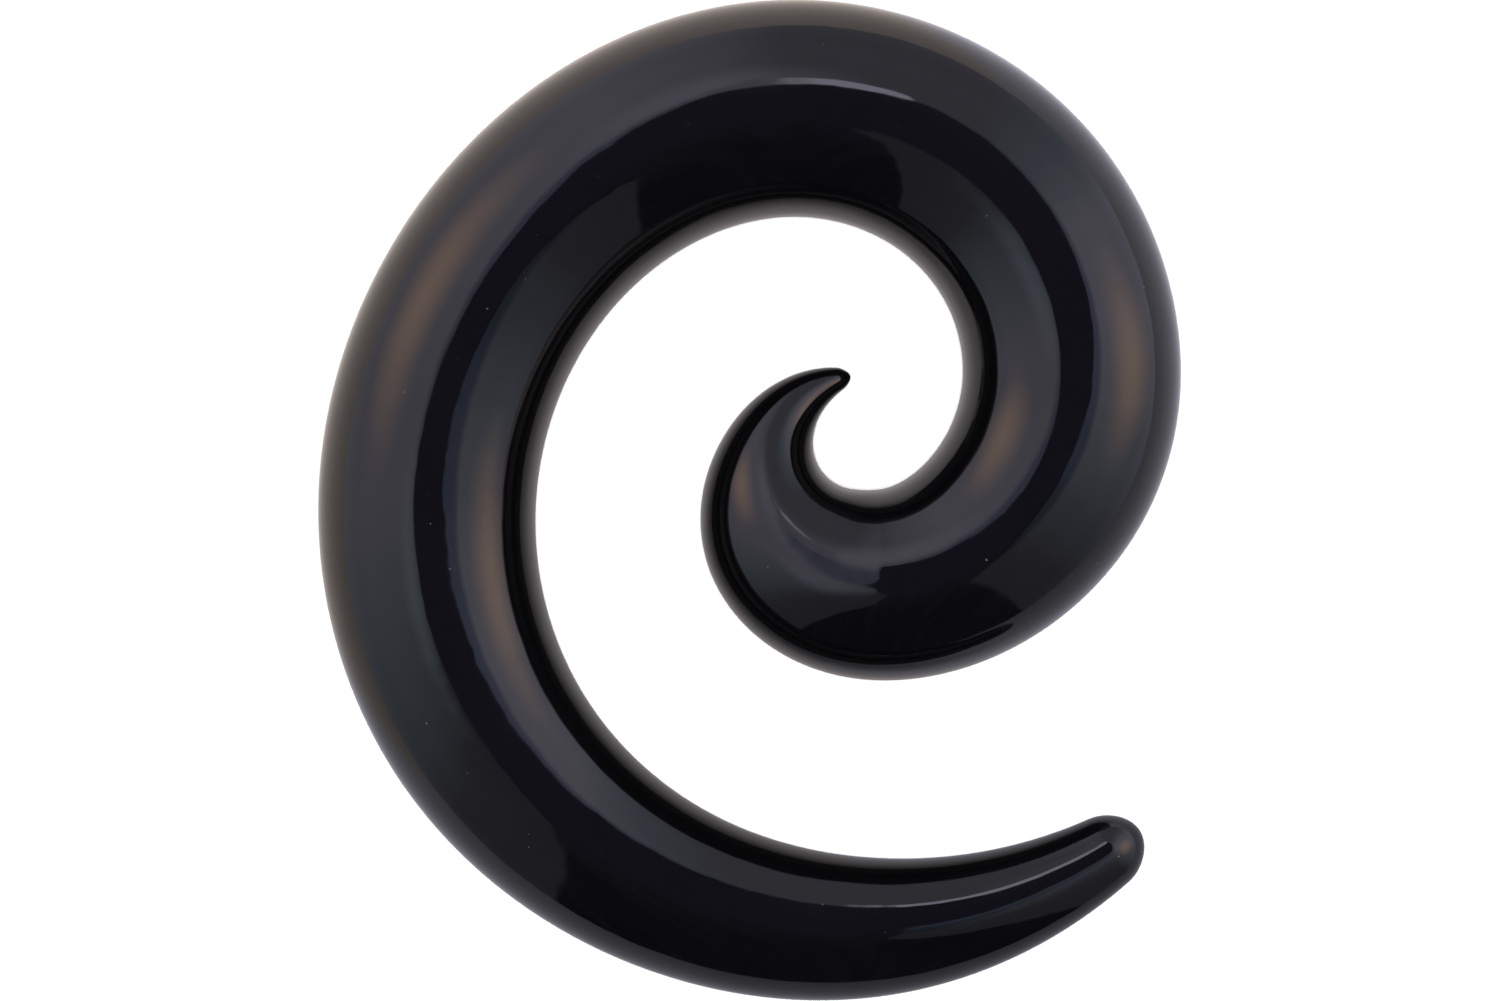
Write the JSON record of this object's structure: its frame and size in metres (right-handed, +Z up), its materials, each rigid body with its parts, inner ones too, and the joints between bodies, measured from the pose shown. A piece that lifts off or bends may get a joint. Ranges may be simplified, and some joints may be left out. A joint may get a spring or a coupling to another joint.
{
  "type": "spiral ear taper",
  "caption": "Solid round rod of glossy black acrylic bent into an open spiral: full gauge where the lobe wears it, a slow taper to a round lead end, and a small curled hook inside.",
  "frame": {"origin": "under the middle of the spiral's outline, on the surface that it lies on", "axes": "+Z up out of the spiral's plane, +Y towards the top of the outer coil, +X towards the side where the rod's lead end points"},
  "size_m": [0.0398, 0.046, 0.01],
  "materials": {
    "black_acrylic": "cast black acrylic, buffed to a mirror gloss"
  },
  "bodies": {
    "root": {"spiral_taper": "black_acrylic"}
  },
  "joints": []
}
